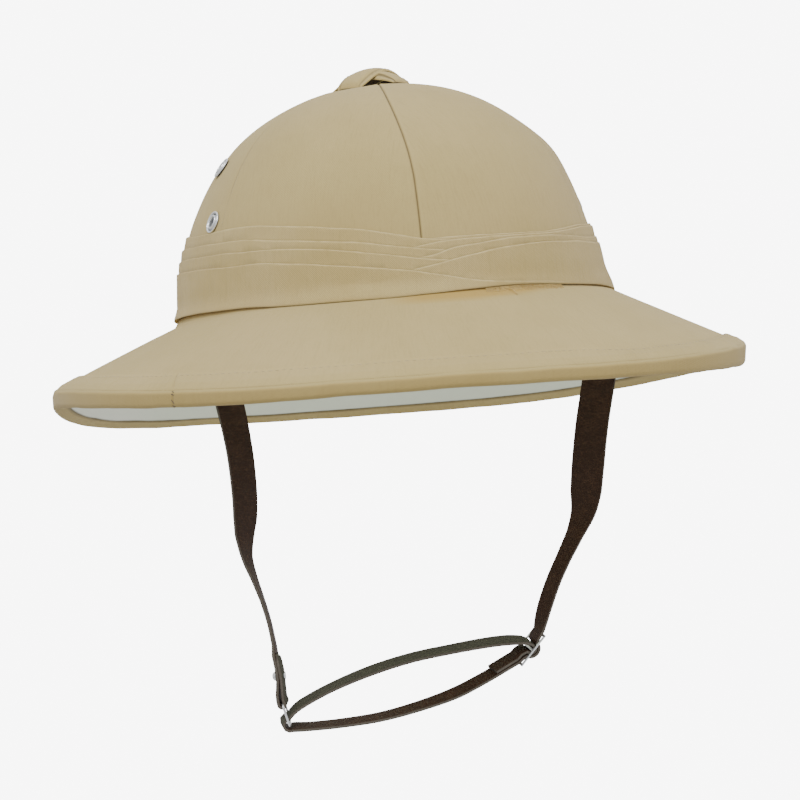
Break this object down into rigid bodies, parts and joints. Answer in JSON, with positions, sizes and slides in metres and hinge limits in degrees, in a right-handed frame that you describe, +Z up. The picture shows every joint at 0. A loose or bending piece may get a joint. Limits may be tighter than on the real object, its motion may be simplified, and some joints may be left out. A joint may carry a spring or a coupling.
{
  "type": "pith helmet",
  "caption": "Domed cotton-covered sun helmet with a wide flared brim, a pleated band, a crossed cloth vent on top, side eyelets and a leather chin strap.",
  "frame": {"origin": "middle of the oval head opening, level with the foot of the crown", "axes": "+Z up along the crown's axis, -Y towards the front of the hat, +X to the wearer's left"},
  "size_m": [0.32, 0.352, 0.2983],
  "materials": {
    "cover_cotton": "matte twill",
    "band_cotton": "matte twill",
    "lining_cotton": "matte",
    "strap_leather": "satin",
    "bright_metal": "polished"
  },
  "bodies": {
    "root": {"crown": "cover_cotton", "brim": "cover_cotton", "brim_lining": "lining_cotton", "rim_binding": "cover_cotton", "puggaree": "band_cotton", "vent_strip_lower": "cover_cotton", "vent_strip_upper": "cover_cotton", "eyelet_left_lower": "bright_metal", "eyelet_left_upper": "bright_metal", "eyelet_right_lower": "bright_metal", "eyelet_right_upper": "bright_metal", "chin_strap_short": "strap_leather", "chin_strap_long": "strap_leather", "strap_ring": "bright_metal", "strap_slide": "bright_metal", "strap_rivet": "bright_metal"}
  },
  "joints": []
}
